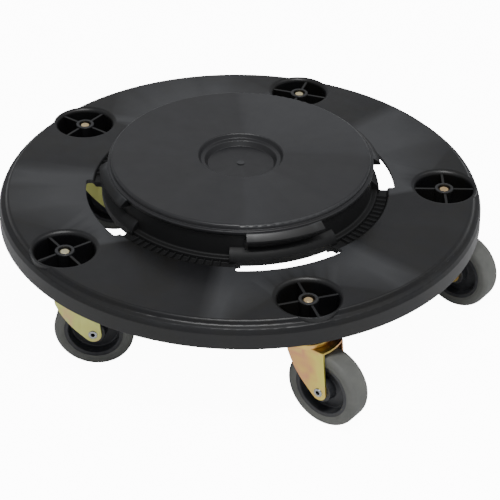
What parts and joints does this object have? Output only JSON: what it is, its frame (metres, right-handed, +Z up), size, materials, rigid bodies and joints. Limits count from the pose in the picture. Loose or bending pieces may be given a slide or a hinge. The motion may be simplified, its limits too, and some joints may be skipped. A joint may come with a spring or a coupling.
{
  "type": "round container dolly",
  "caption": "Round moulded twist-lock dolly for a waste container, with a raised hub, locking slots and lugs, and swivel stem casters in ribbed wells.",
  "frame": {"origin": "on the floor, on the axis of the round deck", "axes": "+Z up along the axis of the deck; +X towards the first caster well (within half a degree)"},
  "size_m": [0.4836, 0.4784, 0.155],
  "materials": {
    "deck_plastic": "moulded black polyethylene, satin",
    "yellow_zinc": "yellow zinc plated sheet steel with an iridescent passivation",
    "bright_zinc": "bright zinc plated steel",
    "spring_steel": "oiled spring steel",
    "ball_steel": "hardened and greased bearing steel",
    "core_plastic": "moulded black polypropylene",
    "tread_rubber": "grey thermoplastic rubber, matt"
  },
  "bodies": {
    "platform": {"deck": "deck_plastic", "stem_1": "yellow_zinc", "grip_ring_1": "spring_steel", "upper_race_1": "yellow_zinc", "lower_race_1": "yellow_zinc", "stem_2": "yellow_zinc", "grip_ring_2": "spring_steel", "upper_race_2": "yellow_zinc", "lower_race_2": "yellow_zinc", "stem_3": "yellow_zinc", "grip_ring_3": "spring_steel", "upper_race_3": "yellow_zinc", "lower_race_3": "yellow_zinc", "stem_4": "yellow_zinc", "grip_ring_4": "spring_steel", "upper_race_4": "yellow_zinc", "lower_race_4": "yellow_zinc", "stem_5": "yellow_zinc", "grip_ring_5": "spring_steel", "upper_race_5": "yellow_zinc", "lower_race_5": "yellow_zinc"},
    "swivel_1": {"fork_1": "yellow_zinc", "upper_balls_1": "ball_steel", "lower_balls_1": "ball_steel", "axle_1": "bright_zinc", "axle_bush_1": "bright_zinc"},
    "wheel_1": {"wheel_core_1": "core_plastic", "tread_1": "tread_rubber"},
    "swivel_2": {"fork_2": "yellow_zinc", "upper_balls_2": "ball_steel", "lower_balls_2": "ball_steel", "axle_2": "bright_zinc", "axle_bush_2": "bright_zinc"},
    "wheel_2": {"wheel_core_2": "core_plastic", "tread_2": "tread_rubber"},
    "swivel_3": {"fork_3": "yellow_zinc", "upper_balls_3": "ball_steel", "lower_balls_3": "ball_steel", "axle_3": "bright_zinc", "axle_bush_3": "bright_zinc"},
    "wheel_3": {"wheel_core_3": "core_plastic", "tread_3": "tread_rubber"},
    "swivel_4": {"fork_4": "yellow_zinc", "upper_balls_4": "ball_steel", "lower_balls_4": "ball_steel", "axle_4": "bright_zinc", "axle_bush_4": "bright_zinc"},
    "wheel_4": {"wheel_core_4": "core_plastic", "tread_4": "tread_rubber"},
    "swivel_5": {"fork_5": "yellow_zinc", "upper_balls_5": "ball_steel", "lower_balls_5": "ball_steel", "axle_5": "bright_zinc", "axle_bush_5": "bright_zinc"},
    "wheel_5": {"wheel_core_5": "core_plastic", "tread_5": "tread_rubber"}
  },
  "joints": [
    {"name": "swivel_1_turn", "type": "hinge", "parent": "platform", "child": "swivel_1", "pos_m": [0.1966, 0.00137, 0.082], "axis": [0, 0, 1], "continuous": true},
    {"name": "wheel_1_spin", "type": "hinge", "parent": "swivel_1", "child": "wheel_1", "pos_m": [0.21656, -0.01367, 0.0375], "axis": [0.6018, 0.7986, 0], "continuous": true},
    {"name": "swivel_2_turn", "type": "hinge", "parent": "platform", "child": "swivel_2", "pos_m": [0.05945, 0.1874, 0.082], "axis": [0, 0, 1], "continuous": true},
    {"name": "wheel_2_spin", "type": "hinge", "parent": "swivel_2", "child": "wheel_2", "pos_m": [0.04771, 0.20947, 0.0375], "axis": [-0.8829, -0.4695, 0], "continuous": true},
    {"name": "swivel_3_turn", "type": "hinge", "parent": "platform", "child": "swivel_3", "pos_m": [-0.15986, 0.11445, 0.082], "axis": [0, 0, 1], "continuous": true},
    {"name": "wheel_3_spin", "type": "hinge", "parent": "swivel_3", "child": "wheel_3", "pos_m": [-0.13504, 0.1114, 0.0375], "axis": [0.1219, 0.9925, 0], "continuous": true},
    {"name": "swivel_4_turn", "type": "hinge", "parent": "platform", "child": "swivel_4", "pos_m": [-0.15824, -0.11667, 0.082], "axis": [0, 0, 1], "continuous": true},
    {"name": "wheel_4_spin", "type": "hinge", "parent": "swivel_4", "child": "wheel_4", "pos_m": [-0.13329, -0.11819, 0.0375], "axis": [0.061, 0.9981, 0], "continuous": true},
    {"name": "swivel_5_turn", "type": "hinge", "parent": "platform", "child": "swivel_5", "pos_m": [0.06206, -0.18655, 0.082], "axis": [0, 0, 1], "continuous": true},
    {"name": "wheel_5_spin", "type": "hinge", "parent": "swivel_5", "child": "wheel_5", "pos_m": [0.08192, -0.20173, 0.0375], "axis": [0.6074, 0.7944, 0], "continuous": true}
  ]
}
